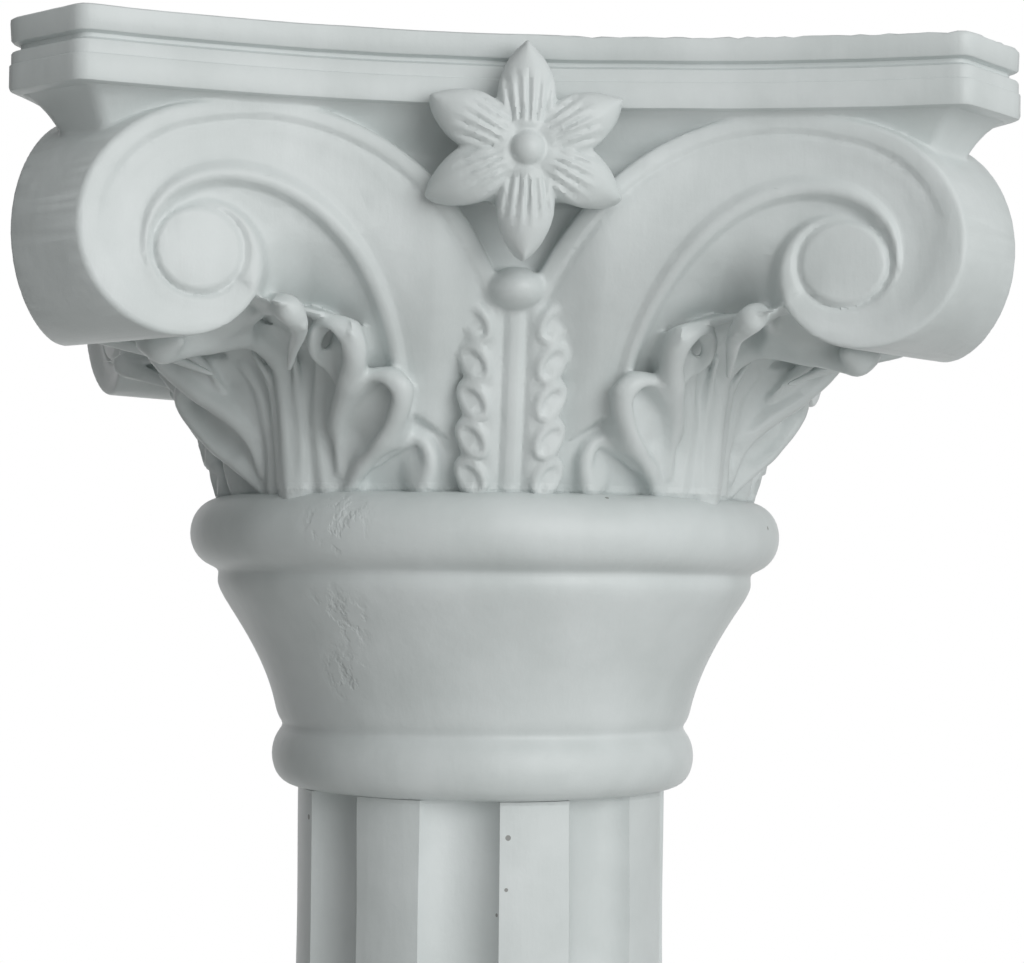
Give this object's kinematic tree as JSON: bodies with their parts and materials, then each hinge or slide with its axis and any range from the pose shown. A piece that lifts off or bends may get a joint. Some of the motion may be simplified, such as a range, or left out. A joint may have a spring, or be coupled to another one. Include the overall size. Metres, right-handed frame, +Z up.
{
  "type": "column pedestal",
  "caption": "Plaster column pedestal: fluted round shaft on a square moulded base, under a Composite capital with corner volutes, leaves, flowers and a concave-sided flat top.",
  "frame": {"origin": "middle of the underside of the plinth", "axes": "+Z up along the shaft, the front of the pedestal faces -Y, +X to the right of the front"},
  "size_m": [0.336, 0.336, 0.9146],
  "materials": {
    "plaster": "satin paint on cast plaster"
  },
  "bodies": {
    "root": {"base": "plaster", "shaft": "plaster", "capital": "plaster"}
  },
  "joints": []
}
